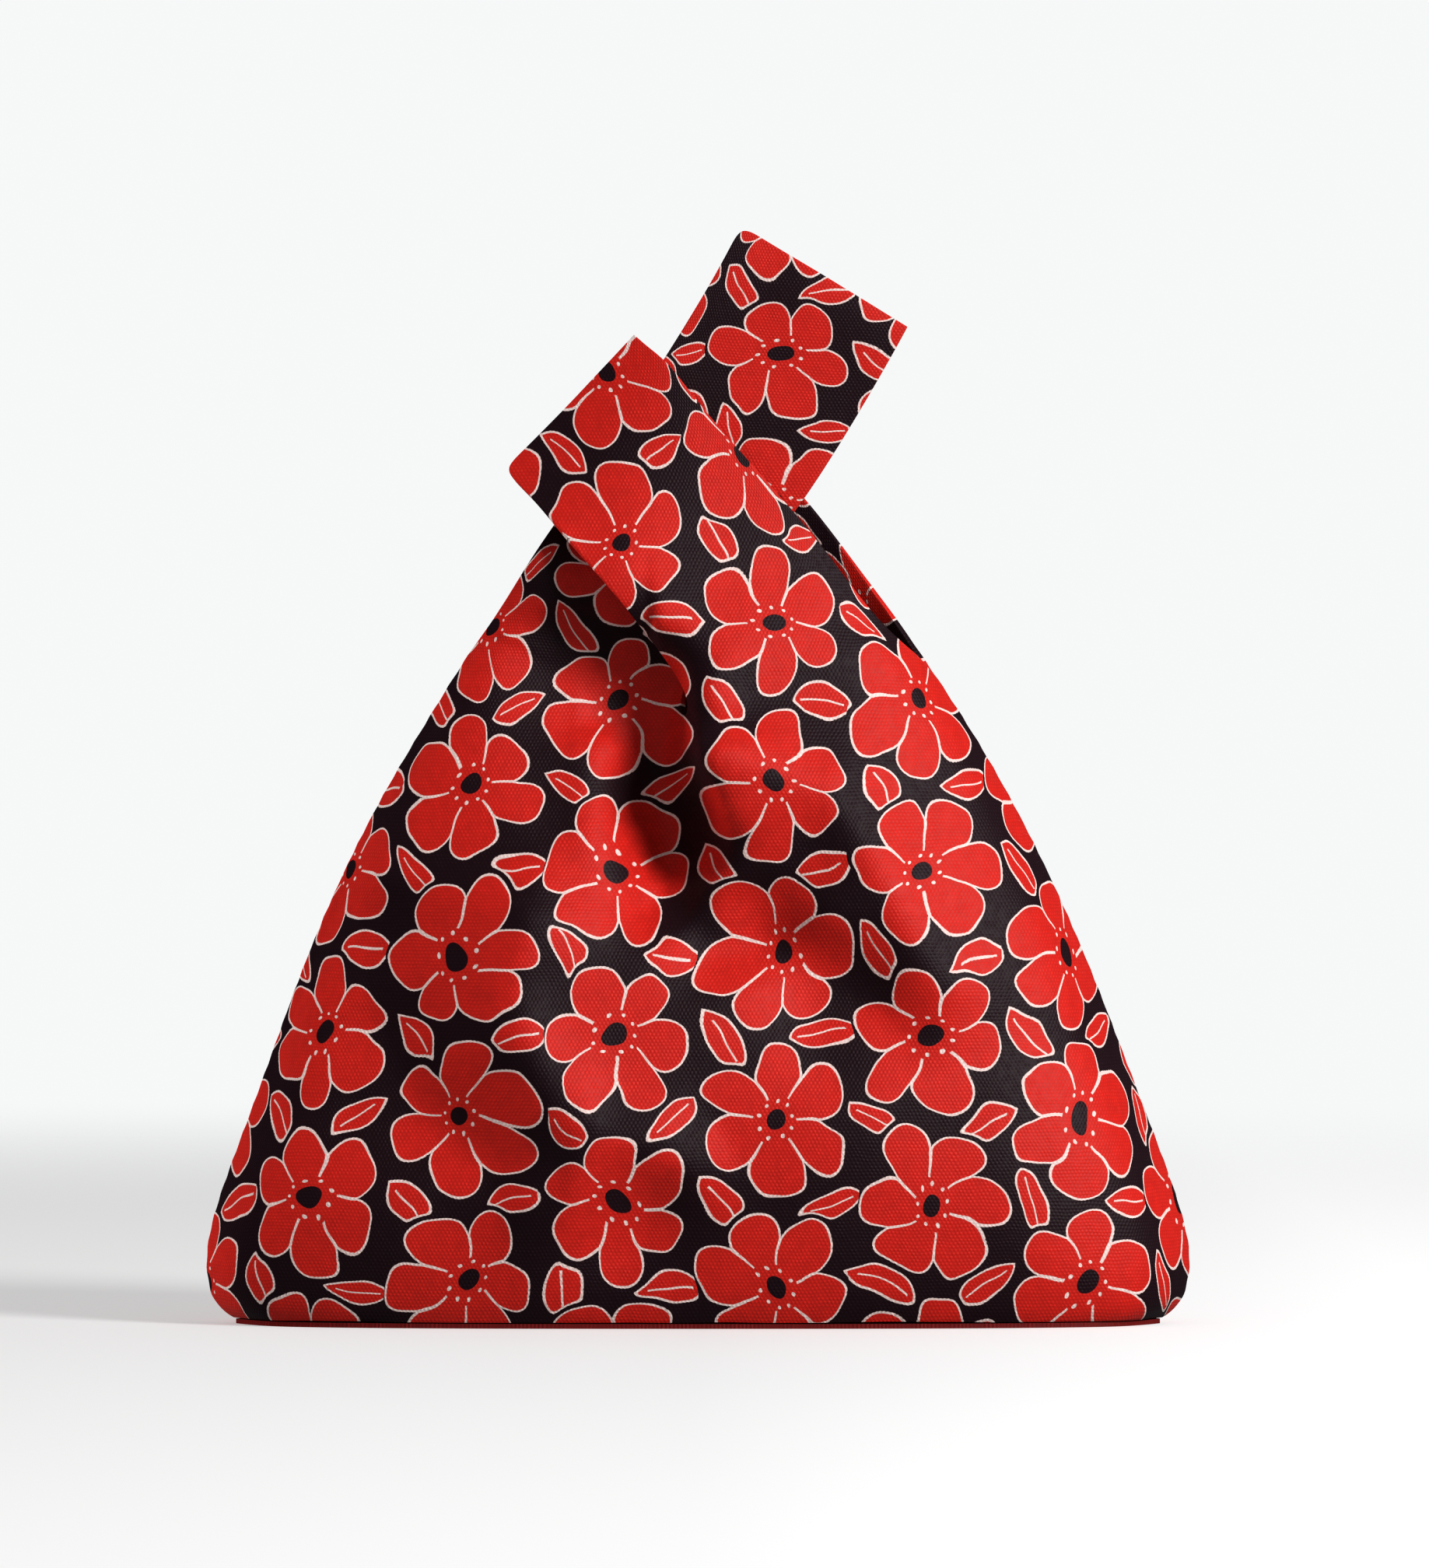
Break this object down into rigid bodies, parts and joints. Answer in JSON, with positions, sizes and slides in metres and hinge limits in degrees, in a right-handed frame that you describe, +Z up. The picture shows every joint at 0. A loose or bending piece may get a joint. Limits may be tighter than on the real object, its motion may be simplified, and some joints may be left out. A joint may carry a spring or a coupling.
{
  "type": "knot bag",
  "caption": "Cloth knot bag standing on a flat oval base, its long strap pulled through its short strap.",
  "frame": {"origin": "under the middle of the base, on the surface that the bag stands on", "axes": "+Z up, the bag's width along X, its front facing -Y"},
  "size_m": [0.3158, 0.0971, 0.351],
  "materials": {
    "printed_cloth": "matt canvas, red flowers with a cream outline on near black",
    "plain_cloth": "matt canvas, plain dark red"
  },
  "bodies": {
    "root": {"front_panel": "printed_cloth", "back_panel": "printed_cloth", "base_panel": "plain_cloth"}
  },
  "joints": []
}
